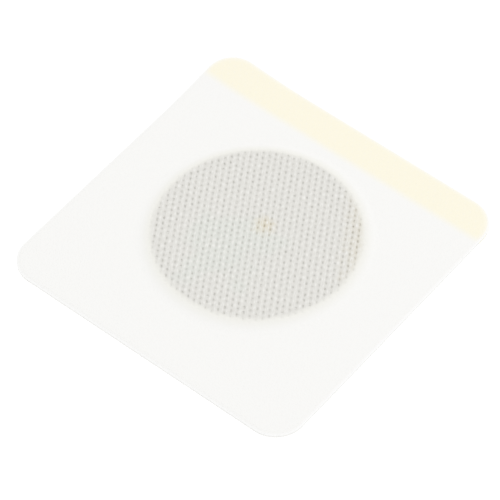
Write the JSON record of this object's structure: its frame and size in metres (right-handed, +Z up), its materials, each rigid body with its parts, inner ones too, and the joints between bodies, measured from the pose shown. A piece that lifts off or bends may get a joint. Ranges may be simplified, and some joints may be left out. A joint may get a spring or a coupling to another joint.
{
  "type": "transdermal patch",
  "caption": "Square adhesive patch with rounded corners: openwork cloth over a round medicated pad, on release paper with a cream pull strip along an edge.",
  "frame": {"origin": "middle of the square at the underside of the release paper", "axes": "+Z up, away from the skin side; +Y towards the edge with the cream pull strip; +X to the right when the pull strip is at the top"},
  "size_m": [0.07, 0.07, 0.0019],
  "materials": {
    "cloth": "matt white openwork knit",
    "adhesive": "clear tacky coat",
    "pad": "matt grey medicated pad",
    "liner_paper": "smooth siliconised white paper",
    "strip_paper": "smooth siliconised cream paper"
  },
  "bodies": {
    "root": {"backing_cloth": "cloth", "adhesive_layer": "adhesive", "drug_pad": "pad", "release_liner": "liner_paper", "pull_strip": "strip_paper"}
  },
  "joints": []
}
